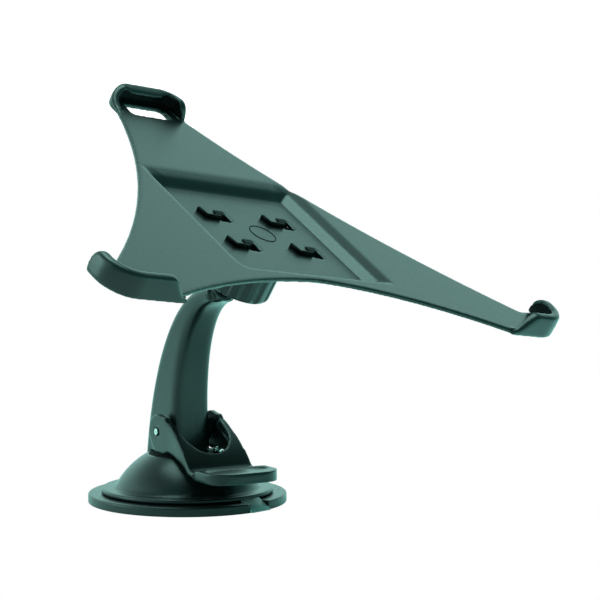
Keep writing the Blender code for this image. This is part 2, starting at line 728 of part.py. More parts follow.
def make_claw_head(plastic, head):
    """The socket over the ball, its plate, and four hooked claws that pass through the cradle."""
    plate_top, plate_low, ring_top, ring_low, nut_low = head_levels()
    outline = rounded(rectangle(HEAD_PLATE[0], HEAD_PLATE[1]), 6.0)
    plate = add("claw_head", prism(outline, plate_low, plate_top, edge=0.5), plastic, parent=head)
    socket = ball_radius + CLEARANCE + SOCKET_WALL
    join(plate, helper("socket_barrel", rod(socket, (0, 0, CLEARANCE / 3), (0, 0, plate_low + 1), 40), head))
    bm = bmesh.new()
    bmesh.ops.create_uvsphere(bm, u_segments=32, v_segments=20, radius=ball_radius + CLEARANCE)
    cut(plate, helper("socket_hollow", bm, head))
    hook_low = CRADLE_RISE - PAN_DEPTH + CLEARANCE
    hook_high = hook_low + CLAW_LIP
    for name, (x, y) in claw_places(CLAW_SHIFT).items():
        width, depth = CLAW_SIZE
        front, back = y - depth / 2, y + depth / 2
        tip = back + CLAW_HOOK
        profile = [(front, plate_top - 1), (front, hook_high), (tip - 0.8, hook_high), (tip, hook_low + 0.5)]
        profile += [(tip, hook_low), (back, hook_low), (back, plate_top - 1)]
        claw = prism(profile, x - width / 2, x + width / 2, axes=(1, 2, 0))
        lowered = [v for v in claw.verts if v.co.x > x and v.co.z > hook_high - 0.1]
        bmesh.ops.translate(claw, verts=lowered, vec=(0, 0, -CLAW_FALL))
        join(plate, helper(name, claw, head))


def claw_places(shift):
    """Middles of the four claws, or of the ribs beside them."""
    x, y = CLAW_SPREAD[0] / 2, CLAW_SPREAD[1] / 2
    corners = [(-x, y), (x, y), (-x, -y), (x, -y)]
    return {f"claw_{i}": (a + shift[0], b + shift[1]) for i, (a, b) in enumerate(corners, 1)}


def cradle_outline():
    """Plan of the cradle: clip, hollow side, corner, and the curved bottom edge, then mirrored."""
    clip = (CLIP_WIDTH + LIP_WALL) / 2
    tip = (POCKET_WIDTH + LIP_WALL) / 2
    foot = POCKET_BOTTOM - LIP_WALL / 2
    bend = TABLET_CORNER + LIP_WALL / 2
    top = POCKET_TOP + LIP_WALL / 2
    rise = POCKET_TOP - CLIP_LENGTH + CLIP_CORNER / 2
    shoulder = POCKET_BOTTOM + LIP_SIDE + 0.5
    waist = -PAN_SIDE / 2 - WAIST_MARGIN
    side = [(clip, rise)]
    side += [(tip * x, shoulder + (rise - shoulder) * y) for x, y in SIDE_CURVE]
    side += [(tip - 10, shoulder)]
    half = arc((clip - CLIP_CORNER - 1, top - CLIP_CORNER - 1), CLIP_CORNER + 1, 90, 0, 4) + bezier(side, 18)
    half += bezier([(tip - 3.5, shoulder), (tip, shoulder), (tip, shoulder - 3.5)], 4)
    half += arc((tip - bend, foot + bend), bend, 0, -90, 6)
    start = POCKET_WIDTH / 2 - LIP_FOOT + 1
    half += [(start, foot)]
    half += bezier([(start - 3, foot + LIP_STEP), (tip * WAIST_CURVE, waist - 2.6), (0, waist)], 16)
    return half + [(-x, y) for x, y in reversed(half) if x > 1e-6]


def wall_heights(path, height, ends, gentle):
    """Heights along a wall that rises from a least share at each end, in a quarter round or gently."""
    travel = [0.0]
    for here, after in zip(path, path[1:]):
        travel.append(travel[-1] + (Vector(after) - Vector(here)).length)
    found = []
    for gone in travel:
        share = 1.0
        for near, (run, least) in zip((gone, travel[-1] - gone), ends):
            short = max(0.0, 1 - near / run)
            rise = (1 + cos(pi * short)) / 2 if gentle else sqrt(1 - short**2)
            share = min(share, least + (1 - least) * rise)
        found.append(height * share)
    return found


def make_cradle(plastic, slide):
    """One thin moulding: a plate with a sunk pan, two corner lips, and a clip at the top."""
    level = CRADLE_RISE
    under = level - CRADLE_SKIN
    floor = level - PAN_DEPTH
    cradle = add("cradle", prism(cradle_outline(), under, level, edge=0.6), plastic, parent=slide)

    def pan(top, bottom, grow):
        rings = []
        steps = 8
        for i in range(steps + 1):
            side = PAN_SIDE - 2 * PAN_SLOPE * (1 - i / steps) + 2 * grow
            z = top if i == steps else bottom + PAN_DEPTH * (1 - cos(pi * i / steps)) / 2
            rings.append([(x, y, z) for x, y in rounded(rectangle(side, side), PAN_CORNER)])
        return loft(rings)

    join(cradle, helper("pan_outside", pan(level - 0.6, floor - CRADLE_SKIN, CRADLE_SKIN / 2), slide))
    bend = POCKET_WIDTH / 2 - TABLET_CORNER
    right = bezier([(POCKET_WIDTH / 2 - LIP_FOOT, POCKET_BOTTOM), (bend, POCKET_BOTTOM)], 10)
    middle = (bend, POCKET_BOTTOM + TABLET_CORNER)
    right += arc(middle, TABLET_CORNER, -90, 0, 9)[1:]
    right += bezier([right[-1], (POCKET_WIDTH / 2, POCKET_BOTTOM + LIP_SIDE)], 6)[1:]
    left = [(-x, y) for x, y in reversed(right)]
    corner = (CLIP_WIDTH / 2 - CLIP_CORNER, POCKET_TOP - CLIP_CORNER)
    clip = bezier([(CLIP_WIDTH / 2, POCKET_TOP - CLIP_LENGTH), (CLIP_WIDTH / 2, corner[1])], 3)
    clip += arc(corner, CLIP_CORNER, 0, 90, 7)[1:]
    clip += [(-x, y) for x, y in reversed(clip)]
    for name, path, height, ends in (
        ("lip_right", right, LIP_HEIGHT, (LIP_FOOT_END, LIP_SIDE_END)),
        ("lip_left", left, LIP_HEIGHT, (LIP_SIDE_END, LIP_FOOT_END)),
        ("clip_wall", clip, CLIP_HEIGHT, (CLIP_END, CLIP_END)),
    ):
        heights = [level + h for h in wall_heights(path, height, ends, path is clip)]
        join(cradle, helper(name, wall(path, LIP_WALL, LIP_HOOK, heights, under, LIP_HOOK, level), slide))
    ledge = CLIP_HOOK + LIP_WALL / 2
    place = (0, POCKET_TOP + LIP_WALL / 2 - ledge / 2)
    hook = rounded(rectangle(2 * corner[0], ledge, place), CLIP_HOOK * 0.4)
    top = level + CLIP_HEIGHT
    join(cradle, helper("clip_hook", prism(hook, top - 1.9, top - 0.1), slide))
    cut(cradle, helper("pan_inside", pan(level + 0.5, floor, 0.0), slide))
    for name, place in claw_places(RIB_SHIFT).items():
        outline = rounded(rectangle(RIB_SIZE[0], RIB_SIZE[1], place), 0.6, 2)
        rib = prism(outline, floor - CRADLE_SKIN / 2, floor + RIB_SIZE[2], edge=0.3)
        join(cradle, helper("rib_" + name, rib, slide))
    for name, (x, y) in claw_places(CLAW_SHIFT).items():
        width, depth = CLAW_SIZE
        long_side = depth + SLIDE_TRAVEL + 2 * CLEARANCE + 0.4
        middle = (x, y + depth / 2 + CLEARANCE - long_side / 2)
        slot = rectangle(width + 2 * CLEARANCE, long_side, middle)
        cut(cradle, helper("slot_" + name, prism(slot, floor - 10, floor + 2), slide))
    place = (0, POCKET_TOP - CLIP_SLOT_BACK)
    slot = rounded(rectangle(CLIP_SLOT[0], CLIP_SLOT[1], place), 1.5)
    cut(cradle, helper("clip_slot", prism(slot, under - 3, level + 3), slide))


def empty(name, place, turn=None, parent=None):
    made = bpy.data.objects.new(name, None)
    bpy.context.scene.collection.objects.link(made)
    made.empty_display_size = 0.01
    made.location = Vector(place) * MM
    if turn:
        made.rotation_euler = turn.to_euler()
    made.parent = parent
    return made


def main():
    clear_scene()
    black = ("black ABS", (0.018, 0.022, 0.022), 0.45)
    soft = ("black rubber", (0.012, 0.014, 0.014), 0.7)
    steel = ("bright steel", (0.62, 0.62, 0.6), 0.25, 1.0)
    acetal = ("natural acetal", (0.7, 0.69, 0.64), 0.5)
    pivot = empty("lever_pivot", pin_point)
    head = empty("ball_joint", BALL_CENTRE, lean_frame(HEAD_LEAN, HEAD_CANT, HEAD_TURN))
    slide = empty("cradle_slide", (0, 0, 0), parent=head)
    make_pad(soft)
    make_core(acetal, steel)
    make_stem(acetal)
    make_spring(steel)
    make_dome(black)
    make_screws(steel)
    make_arm(black)
    make_lever(black, pivot)
    make_pin_and_cam(steel, acetal, pivot)
    make_stud(steel)
    make_clamp(acetal, black, head)
    make_claw_head(black, head)
    make_cradle(black, slide)


main()
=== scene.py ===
from math import cos, pi, radians, sin, sqrt, tan

import bmesh
import bpy
from mathutils import Matrix, Vector


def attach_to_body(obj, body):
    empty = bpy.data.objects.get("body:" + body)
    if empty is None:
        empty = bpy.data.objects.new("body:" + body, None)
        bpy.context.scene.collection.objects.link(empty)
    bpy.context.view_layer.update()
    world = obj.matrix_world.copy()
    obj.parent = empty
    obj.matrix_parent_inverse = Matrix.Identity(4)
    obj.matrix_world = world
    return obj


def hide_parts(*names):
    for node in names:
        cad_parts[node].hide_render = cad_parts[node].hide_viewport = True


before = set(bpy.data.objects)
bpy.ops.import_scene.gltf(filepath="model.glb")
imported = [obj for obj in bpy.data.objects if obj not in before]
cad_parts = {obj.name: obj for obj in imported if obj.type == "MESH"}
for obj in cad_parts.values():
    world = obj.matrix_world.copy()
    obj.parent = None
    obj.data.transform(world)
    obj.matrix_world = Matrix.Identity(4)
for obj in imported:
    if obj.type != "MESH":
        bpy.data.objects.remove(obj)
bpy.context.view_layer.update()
mm = 0.001
print("frame loaded:", len(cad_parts), "nodes")


# colours and nodes

def linear(hexColour):
    parts = [int(hexColour[i:i + 2], 16) / 255 for i in (1, 3, 5)]
    parts = [p / 12.92 if p <= 0.04045 else ((p + 0.055) / 1.055) ** 2.4 for p in parts]
    return (*parts, 1.0)


def addNode(tree, kind, settings, links=None):
    node = tree.nodes.new(kind)
    for name, value in settings.items():
        if isinstance(name, int) or name in node.inputs:
            node.inputs[name].default_value = value
        else:
            setattr(node, name, value)
    for name, source in (links or {}).items():
        tree.links.new(source, node.inputs[name])
    return node


def newMaterial(name):
    made = bpy.data.materials.new(name)
    made.use_nodes = True
    made.node_tree.nodes.clear()
    return made, made.node_tree


# ABS moulded in a spark-eroded tool: satin, even grain; its convex edges carry a painted highlight
absMoulded = {
    "name": "ABS moulded satin",
    "deep": "#060c0c",
    "pale": "#091110",
    "rimHighlight": "#182b29",
    "ior": 1.5,
    "roughness": (0.28, 0.36),
    "cloudSize": 14.0,
    "grainSize": 0.9,  # a real grain is near 0.2 mm, drawn coarser so that it shows
    "grainDepth": 0.02,
}
# plasticised PVC, pressed between polished plates: darker, softer shine
pvcPressed = {
    "name": "PVC pressed soft",
    "deep": "#040808",
    "pale": "#060c0b",
    "rimHighlight": "#101d1c",
    "ior": 1.52,
    "roughness": (0.28, 0.4),
    "cloudSize": 22.0,
    "grainSize": 1.4,
    "grainDepth": 0.012,
}
# the same PVC, rubbed rough where it is gripped, no shine; its paler colour is painted light on the
# tongue's upturned face
pvcRoughPaintedLight = {
    "name": "PVC rough painted light",
    "deep": "#98a3a0",
    "pale": "#a9b5b1",
    "rimHighlight": "#b8c4c0",
    "ior": 1.52,
    "shine": 0.3,
    "roughness": (0.5, 0.62),
    "cloudSize": 5.0,
    "grainSize": 0.7,
    "grainDepth": 0.03,
}
# black nylon straight from a rough tool: matt, takes nearly no shine; dark and dull, it paints shade on
# the pieces that wear it
nylonMattShade = {
    "name": "Nylon black matt painted shade",
    "deep": "#040807",
    "pale": "#070c0b",
    "rimHighlight": "#0c1514",
    "ior": 1.5,
    "shine": 0.1,
    "roughness": (0.55, 0.7),
    "cloudSize": 6.0,
    "grainSize": 0.6,
    "grainDepth": 0.02,
}
# acetal turned or moulded without dye: waxy off-white
acetalNatural = {
    "name": "Acetal natural",
    "deep": "#d8d4c6",
    "pale": "#e4e1d6",
    "rimHighlight": "#efede6",
    "ior": 1.48,
    "roughness": (0.36, 0.48),
    "cloudSize": 8.0,
    "grainSize": 0.6,
    "grainDepth": 0.008,
}


def plastic(look):
    made, tree = newMaterial(look["name"])
    place = addNode(tree, "ShaderNodeTexCoord", {}).outputs["Object"]
    cloud = addNode(
        tree,
        "ShaderNodeTexNoise",
        {"Scale": 1 / (look["cloudSize"] * mm), "Detail": 3.0, "Roughness": 0.55},
        {"Vector": place},
    )
    grain = addNode(
        tree,
        "ShaderNodeTexNoise",
        {"Scale": 1 / (look["grainSize"] * mm), "Detail": 2.0, "Roughness": 0.6},
        {"Vector": place},
    )
    tone = addNode(tree, "ShaderNodeValToRGB", {}, {"Fac": cloud.outputs["Fac"]})
    tone.color_ramp.elements[0].position = 0.3
    tone.color_ramp.elements[0].color = linear(look["deep"])
    tone.color_ramp.elements[1].position = 0.7
    tone.color_ramp.elements[1].color = linear(look["pale"])
    # painted highlight: convex edges are mixed towards a lighter colour
    rimHighlight = addNode(tree, "ShaderNodeAttribute", {"attribute_name": "rimHighlight"})
    colour = addNode(
        tree,
        "ShaderNodeMix",
        {"data_type": "RGBA", 7: linear(look["rimHighlight"])},
        {0: rimHighlight.outputs["Fac"], 6: tone.outputs["Color"]},
    )
    low, high = look["roughness"]
    satin = addNode(
        tree,
        "ShaderNodeMapRange",
        {"From Min": 0.3, "From Max": 0.7, "To Min": low, "To Max": high},
        {"Value": grain.outputs["Fac"]},
    )
    relief = addNode(
        tree,
        "ShaderNodeBump",
        {"Strength": 0.5, "Distance": look["grainDepth"] * mm},
        {"Height": grain.outputs["Fac"]},
    )
    shader = addNode(
        tree,
        "ShaderNodeBsdfPrincipled",
        {"IOR": look["ior"], "Specular IOR Level": look.get("shine", 0.5)},
        {
            "Base Color": colour.outputs[2],
            "Roughness": satin.outputs["Result"],
            "Normal": relief.outputs["Normal"],
        },
    )
    addNode(tree, "ShaderNodeOutputMaterial", {}, {"Surface": shader.outputs["BSDF"]})
    return made


# steel, drawn and nickel plated: bright, with faint drawing lines along its length
steelNickel = {
    "name": "Steel nickel plated",
    "deep": "#b9bab6",
    "pale": "#d9d9d4",
    "roughness": (0.16, 0.3),
    "lineSpacing": 0.4,
    "lineDepth": 0.006,
}


def plated(look):
    made, tree = newMaterial(look["name"])
    place = addNode(tree, "ShaderNodeTexCoord", {}).outputs["Object"]
    stretch = addNode(tree, "ShaderNodeMapping", {"Scale": (0.06, 1.0, 1.0)}, {"Vector": place})
    lines = addNode(
        tree,
        "ShaderNodeTexNoise",
        {"Scale": 1 / (look["lineSpacing"] * mm), "Detail": 3.0},
        {"Vector": stretch.outputs["Vector"]},
    )
    tone = addNode(tree, "ShaderNodeValToRGB", {}, {"Fac": lines.outputs["Fac"]})
    tone.color_ramp.elements[0].color = linear(look["deep"])
    tone.color_ramp.elements[1].color = linear(look["pale"])
    low, high = look["roughness"]
    satin = addNode(
        tree, "ShaderNodeMapRange", {"To Min": low, "To Max": high}, {"Value": lines.outputs["Fac"]}
    )
    relief = addNode(
        tree,
        "ShaderNodeBump",
        {"Strength": 0.4, "Distance": look["lineDepth"] * mm},
        {"Height": lines.outputs["Fac"]},
    )
    shader = addNode(
        tree,
        "ShaderNodeBsdfPrincipled",
        {"Metallic": 1.0},
        {
            "Base Color": tone.outputs["Color"],
            "Roughness": satin.outputs["Result"],
            "Normal": relief.outputs["Normal"],
        },
    )
    addNode(tree, "ShaderNodeOutputMaterial", {}, {"Surface": shader.outputs["BSDF"]})
    return made


absLook = plastic(absMoulded)
pvcLook = plastic(pvcPressed)
acetalLook = plastic(acetalNatural)
shadeNylonLook = plastic(nylonMattShade)
tongueLook = plastic(pvcRoughPaintedLight)
steelLook = plated(steelNickel)
print("materials made")


# camera and studio

cameraSet = {
    "place": (-0.5022, -0.9367, 0.1784),
    "pitch": -4.956,
    "azimuth": -30.8,
    "lens": 150.06,
    "sensor": 36.0,
}


def makeCamera():
    data = bpy.data.cameras.new("camera")
    data.lens = cameraSet["lens"]
    data.sensor_width = cameraSet["sensor"]
    data.clip_start, data.clip_end = 0.05, 40.0
    made = bpy.data.objects.new("camera", data)
    made.location = cameraSet["place"]
    made.rotation_euler = (radians(90 + cameraSet["pitch"]), 0, radians(cameraSet["azimuth"]))
    bpy.context.scene.collection.objects.link(made)
    bpy.context.scene.camera = made


studio = {
    "tint": (0.54, 1.0, 0.92),  # cool cast of the lamps and the backdrop
    "frontTint": (0.26, 1.0, 0.9),  # deeper, from the room in front and off the floor
    "softbox": {
        "place": (0.05, 0.15, 1.35), "aim": (0.05, 0.15, 0.0), "size": (1.0, 0.8), "watts": 13.0,
    },
    "sideLamp": {
        "place": (-1.3, 0.62, 0.4), "aim": (0.0, 0.0, 0.1), "size": (0.6, 0.6), "watts": 4.0,
    },
    "backdrop": ((0.0, 1.4), (0.1, 1.4), (0.4, 1.75), (0.66, 0.85), (0.86, 0.25)),  # level by height
    "frontLight": 0.3,
    "dark": (0.25, -0.97, 0.0),  # way to the middle of the dark room in front
    "darkEdge": (-0.3, 0.35),  # where it begins and is whole, as shares of that way
    "floorRadius": 9.0,
    "floorColour": "#f4f4f2",
    "floorGlow": (0.05, 0.75),  # the sweep is dim on the left and lit on the right
    "glowWay": (0.957, 0.29, 0.0),
    "glowReach": (-0.1, 0.1),  # metres along that way
}


def makeStudio():
    for name in ("softbox", "sideLamp"):
        lamp = studio[name]
        data = bpy.data.lights.new(name, "AREA")
        data.shape = "RECTANGLE"
        data.size, data.size_y = lamp["size"]
        data.energy = lamp["watts"]
        data.color = studio["tint"]
        made = bpy.data.objects.new(name, data)
        made.location = lamp["place"]
        path = Vector(lamp["aim"]) - Vector(lamp["place"])
        made.rotation_euler = path.to_track_quat("-Z", "Y").to_euler()
        made.visible_camera = False
        bpy.context.scene.collection.objects.link(made)

    world = bpy.data.worlds.new("studio")
    bpy.context.scene.world = world
    world.use_nodes = True
    tree = world.node_tree
    tree.nodes.clear()
    way = addNode(tree, "ShaderNodeTexCoord", {}).outputs["Generated"]
    ahead = addNode(
        tree,
        "ShaderNodeVectorMath",
        {"operation": "DOT_PRODUCT", 1: studio["dark"]},
        {0: way},
    )
    parts = addNode(tree, "ShaderNodeSeparateXYZ", {}, {0: way})
    side = addNode(
        tree,
        "ShaderNodeMapRange",
        {
            "From Min": studio["darkEdge"][0],
            "From Max": studio["darkEdge"][1],
            "interpolation_type": "SMOOTHSTEP",
        },
        {"Value": ahead.outputs["Value"]},
    )
    back = addNode(tree, "ShaderNodeValToRGB", {}, {"Fac": parts.outputs["Z"]})
    back.color_ramp.interpolation = "EASE"
    while len(back.color_ramp.elements) < len(studio["backdrop"]):
        back.color_ramp.elements.new(0.5)
    for element, (height, level) in zip(back.color_ramp.elements, studio["backdrop"]):
        element.position = height
        element.color = (level, level, level, 1.0)
    glow = addNode(
        tree,
        "ShaderNodeMix",
        {"data_type": "FLOAT", 3: studio["frontLight"]},
        {0: side.outputs["Result"], 2: back.outputs["Color"]},
    )
    seen = addNode(tree, "ShaderNodeLightPath", {}).outputs["Is Camera Ray"]
    strength = addNode(tree, "ShaderNodeMath", {"operation": "MAXIMUM"}, {0: glow.outputs[0], 1: seen})
    shade = addNode(
        tree,
        "ShaderNodeMix",
        {"data_type": "RGBA", 6: (*studio["tint"], 1.0), 7: (*studio["frontTint"], 1.0)},
        {0: side.outputs["Result"]},
    )
    cast = addNode(
        tree,
        "ShaderNodeMix",
        {"data_type": "RGBA", 7: (1.0, 1.0, 1.0, 1.0)},
        {0: seen, 6: shade.outputs[2]},
    )
    sky = addNode(
        tree,
        "ShaderNodeBackground",
        {},
        {"Color": cast.outputs[2], "Strength": strength.outputs["Value"]},
    )
    addNode(tree, "ShaderNodeOutputWorld", {}, {"Surface": sky.outputs["Background"]})

    bm = bmesh.new()
    bmesh.ops.create_circle(bm, cap_ends=True, segments=96, radius=studio["floorRadius"])
    mesh = bpy.data.meshes.new("floor")
    bm.to_mesh(mesh)
    bm.free()
    look, tree = newMaterial("Paper sweep")
    place = addNode(tree, "ShaderNodeTexCoord", {}).outputs["Object"]
    across = addNode(
        tree,
        "ShaderNodeVectorMath",
        {"operation": "DOT_PRODUCT", 1: studio["glowWay"]},
        {0: place},
    )
    lit = addNode(
        tree,
        "ShaderNodeMapRange",
        {
            "From Min": studio["glowReach"][0],
            "From Max": studio["glowReach"][1],
            "To Min": studio["floorGlow"][0],
            "To Max": studio["floorGlow"][1],
        },
        {"Value": across.outputs["Value"]},
    )
    paper = addNode(
        tree,
        "ShaderNodeBsdfPrincipled",
        {
            "Base Color": linear(studio["floorColour"]),
            "Roughness": 0.9,
            "Emission Color": (*studio["frontTint"], 1.0),
        },
        {"Emission Strength": lit.outputs["Result"]},
    )
    # the sweep is overexposed in the picture, so the lens sees plain white
    white = addNode(tree, "ShaderNodeEmission", {"Color": (1.0, 1.0, 1.0, 1.0), "Strength": 1.0})
    seen = addNode(tree, "ShaderNodeLightPath", {}).outputs["Is Camera Ray"]
    both = addNode(
        tree,
        "ShaderNodeMixShader",
        {},
        {0: seen, 1: paper.outputs["BSDF"], 2: white.outputs["Emission"]},
    )
    addNode(tree, "ShaderNodeOutputMaterial", {}, {"Surface": both.outputs["Shader"]})
    mesh.materials.append(look)
    floor = bpy.data.objects.new("floor", mesh)
    bpy.context.scene.collection.objects.link(floor)
    bpy.context.scene.view_settings.view_transform = "Standard"


makeCamera()
makeStudio()
print("camera and studio set")


# mesh helpers

def showMesh(name, bm, look):
    mesh = bpy.data.meshes.new(name)
    bm.to_mesh(mesh)
    bm.free()
    mesh.materials.append(look)
    piece = bpy.data.objects.new(name, mesh)
    bpy.context.scene.collection.objects.link(piece)
    return piece


def markEdgeHighlights(mesh, reach):
    # how far each point stands out from its neighbours: convex edges come near 1, and there the
    # plastics get a painted highlight
    bm = bmesh.new()
    bm.from_mesh(mesh)
    bm.normal_update()
    found = []
    for v in bm.verts:
        around = [e.other_vert(v).co for e in v.link_edges]
        middle = sum(around, Vector()) / max(len(around), 1)
        found.append(min(max((v.co - middle).dot(v.normal) / reach, 0.0), 1.0))
    bm.free()
    rimHighlight = mesh.attributes.new("rimHighlight", "FLOAT", "POINT")
    rimHighlight.data.foreach_set("value", found)


def settle(piece):
    graph = bpy.context.evaluated_depsgraph_get()
    mesh = bpy.data.meshes.new_from_object(piece.evaluated_get(graph))
    piece.modifiers.clear()
    piece.data = mesh
    for face in mesh.polygons:
        face.use_smooth = True
    return mesh


def softened(name, node, body, look, voxel, passes, shape=None, before=None):
    # the node's solid with the radii that a mould leaves on every edge
    bm = bmesh.new()
    bm.from_mesh(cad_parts[node].data)
    bmesh.ops.remove_doubles(bm, verts=bm.verts, dist=1e-6)
    if before:
        before(bm)
    piece = showMesh(name, bm, look)
    even = piece.modifiers.new("even skin", "REMESH")
    even.mode = "VOXEL"
    even.voxel_size = voxel * mm
    mesh = settle(piece)
    if shape:
        for v in mesh.vertices:
            v.co = shape(v.co)
    ease = piece.modifiers.new("mould radius", "SMOOTH")
    ease.factor = 0.5
    ease.iterations = passes
    # the painted edge highlight is marked here
    markEdgeHighlights(settle(piece), voxel * mm * 0.2)
    return attach(piece, body, node)


def attach(piece, body, node=None):
    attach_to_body(piece, body)
    if node:
        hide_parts(node)
    print(piece.name, len(piece.data.polygons), "faces")
    return piece


def eased(low, high, value):
    t = min(max((value - low) / (high - low), 0.0), 1.0)
    return t * t * (3 - 2 * t)


def filleted(corners, steps=6):
    # an outline whose corners (x, y, radius) are rounded
    out = []
    for i, (x, y, radius) in enumerate(corners):
        here = Vector((x, y))
        before = Vector(corners[i - 1][:2]) - here
        after = Vector(corners[(i + 1) % len(corners)][:2]) - here
        if radius == 0:
            out.append((x, y))
            continue
        reach = min(radius / tan(before.angle(after) / 2), before.length / 2, after.length / 2)
        start, end = here + before.normalized() * reach, here + after.normalized() * reach
        for k in range(steps + 1):
            t = k / steps
            out.append(tuple(start * (1 - t) ** 2 + here * 2 * t * (1 - t) + end * t * t))
    return out


def turned(bm, profile, steps, place=Matrix(), sunk=None):
    # spins an outline (radius, height) in mm about the z axis of a place
    rings = []
    for i in range(steps):
        turn = 2 * pi * i / steps
        ring = []
        for radius, height in profile:
            out = radius - (sunk(turn, radius) if sunk else 0.0)
            ring.append(bm.verts.new(place @ Vector((out * cos(turn), out * sin(turn), height))))
        rings.append(ring)
    count = len(profile)
    spans = count if profile[0][0] > 0 else count - 1
    for i in range(steps):
        here, after = rings[i], rings[(i + 1) % steps]
        for k in range(spans):
            m = (k + 1) % count
            bm.faces.new((here[k], here[m], after[m], after[k]))


def slab(bm, outline, low, high, place=Matrix(), edge=0.0):
    # an outline in mm between two heights, its upper edge drawn in
    middle = sum((Vector(p) for p in outline), Vector((0, 0))) / len(outline)
    rings = []
    for height, inset in ((low, 0.0), (high - edge, 0.0), (high, edge)):
        ring = []
        for p in outline:
            away = Vector(p) - middle
            x, y = middle + away * (1 - inset / max(away.length, 1e-6))
            ring.append(bm.verts.new(place @ Vector((x, y, height))))
        rings.append(ring)
    count = len(outline)
    for here, after in zip(rings, rings[1:]):
        for k in range(count):
            m = (k + 1) % count
            bm.faces.new((here[k], here[m], after[m], after[k]))
    bm.faces.new(list(reversed(rings[0])))
    bm.faces.new(rings[-1])


def closedMesh(name, bm, look):
    bmesh.ops.remove_doubles(bm, verts=bm.verts, dist=1e-5)
    bmesh.ops.recalc_face_normals(bm, faces=bm.faces)
    bmesh.ops.scale(bm, vec=(mm, mm, mm), verts=bm.verts)
    piece = showMesh(name, bm, look)
    for face in piece.data.polygons:
        face.use_smooth = True
    return piece


def cutAway(piece, cutter):
    cut = piece.modifiers.new("cut", "BOOLEAN")
    cut.operation = "DIFFERENCE"
    cut.solver = "EXACT"
    cut.object = cutter
    settle(piece)
    bpy.data.objects.remove(cutter)


# where head, nut and cradle stand: millimetres and degrees, about the ball
headSet = {"ball": (0.0, -44.0, 99.6), "lean": 27.9, "cant": 12.5, "turn": 7.1}
headTurn = Matrix()
for part, axis in (("lean", "X"), ("cant", "Y"), ("turn", "Z")):
    headTurn = headTurn @ Matrix.Rotation(radians(headSet[part]), 4, axis)
headPlace = Matrix.Translation(headSet["ball"]) @ headTurn
headBack = headPlace.inverted()


# the cradle: its sunk middle has a long shoulder on the right and at the back

cradleSet = {
    "floor": 20.8,
    "depth": 4.2,
    # steepness of the shoulders at distances out from the middle
    "rightSlopes": (
        (33.4, 0.0), (34.0, -0.15), (34.8, 0.62), (38.4, 0.62), (39.4, 0.26), (43.6, 0.22), (45.5, 0.0),
    ),
    "backSlopes": ((29.4, 0.0), (30.6, 0.75), (33.2, 0.75), (34.6, 0.3), (41.0, 0.0)),
    "hooks": ((-17.5, 11.1), (17.5, 11.1), (-17.5, -11.1), (17.5, -11.1)),
    "ribs": (-0.5, 2.9, 3.5, 3.4),  # ridges laid flat at each slot: shift in x and y, half sides
    "hookPlan": ((-6.6, 2.6), (-5.7, -3.4), (2.2, -3.7), (2.2, -2.7), (-4.7, -2.5), (-5.5, 2.6)),
    "hookTop": 22.5,
    "plainRing": (2.3, -0.2, 5.9, 0.22),  # x, y, radius and bead
    "level": 25.0,
    "panLimits": (50.0, 46.0, 25.6),  # the pan is shaped only inside these
    "wallLimits": (50.0, 60.0),  # and the walls stand only beyond these
    "corner": 6.0,
    "cutCorner": 82.0,  # x and y together where the back right corner is cut off
    "plainSlope": (32.0, 7.0),  # start and run on the left and in front
    "shadeSheet": 0.45,
    "lipSteps": 24,
}
# each wall: its path in plan, height and hook
# each end: its run, the share of height it starts from, and whether it rises gently
lipSet = {
    "rightLip": {
        "from": (92.0, -66.0), "to": (120.3, -47.6), "bend": 10.2, "height": 8.4, "hook": 1.6,
        "upFirst": False, "ends": ((12.0, 0.0, True), (8.0, 0.12, False)),
    },
    "leftLip": {
        "from": (-120.3, -50.0), "to": (-87.0, -66.0), "bend": 10.2, "height": 8.4, "hook": 1.6,
        "upFirst": True, "ends": ((4.5, 0.5, False), (10.0, 0.0, True)),
    },
    "clipRight": {
        "from": (16.1, 89.0), "to": (0.0, 100.2), "bend": 7.6, "height": 7.5, "hook": 3.4,
        "upFirst": True, "ends": ((5.5, 0.05, False), (0.0, 1.0, False)),
    },
    "clipLeft": {
        "from": (0.0, 100.2), "to": (-16.1, 89.0), "bend": 7.6, "height": 7.5, "hook": 3.4,
        "upFirst": False, "ends": ((0.0, 1.0, False), (15.0, 0.1, True)),
    },
}


def lipPath(wall):
    # two straight runs and the round bend between them, with the pocket on their left
    (ax, ay), (bx, by) = wall["from"], wall["to"]
    corner = Vector((ax, by)) if wall["upFirst"] else Vector((bx, ay))
    start, end = Vector((ax, ay)), Vector((bx, by))
    back, on = (start - corner).normalized(), (end - corner).normalized()
    middle = corner + (back + on) * wall["bend"]
    first, last = corner + back * wall["bend"], corner + on * wall["bend"]
    steps = cradleSet["lipSteps"]
    path = [start.lerp(first, i / steps) for i in range(steps)]
    for i in range(steps):
        turn = pi / 2 * i / steps
        path.append(middle - on * wall["bend"] * cos(turn) - back * wall["bend"] * sin(turn))
    return path + [last.lerp(end, i / steps) for i in range(steps + 1)]


def wallTop(h, hook):
    # height, thickness of the hook and how far a long hook drops
    return max(h, 0.1), min(1.9, 0.5 * h + 0.1), 0.5 * max(hook - 1.6, 0.0)


def wallSection(h, hook):
    top, thick, fall = wallTop(h, hook)
    section = [(0.0, -1.4), (2.0, -2.0), (2.6, -1.7), (2.8, -1.0), (2.9, top * 0.5)]
    section += [(2.7, top - thick * 0.6), (2.1, top - thick * 0.2), (1.2, top)]
    section += [(-hook * 0.6, top - fall)]
    section += [(-hook, top - thick * 0.25 - fall * 1.7), (-hook + 0.1, top - thick * 0.6 - fall * 1.8)]
    return section + [(0.0, top - thick - fall)]


def shadeSheetSection(h, hook):
    # a thin dark skin on the inside of the wall, up to the hook: painted shade on the walls' shaded
    # inner faces
    top, thick, fall = wallTop(h, hook)
    under = max(top - thick - fall, 0.05)
    skin = min(cradleSet["shadeSheet"], h * 0.1)
    section = [(0.8, -0.4), (-skin, -0.4), (-skin, under * 0.5), (-skin, under)]
    return section + [(-skin * 1.5, under + 0.2), (0.8, under + 0.4)]


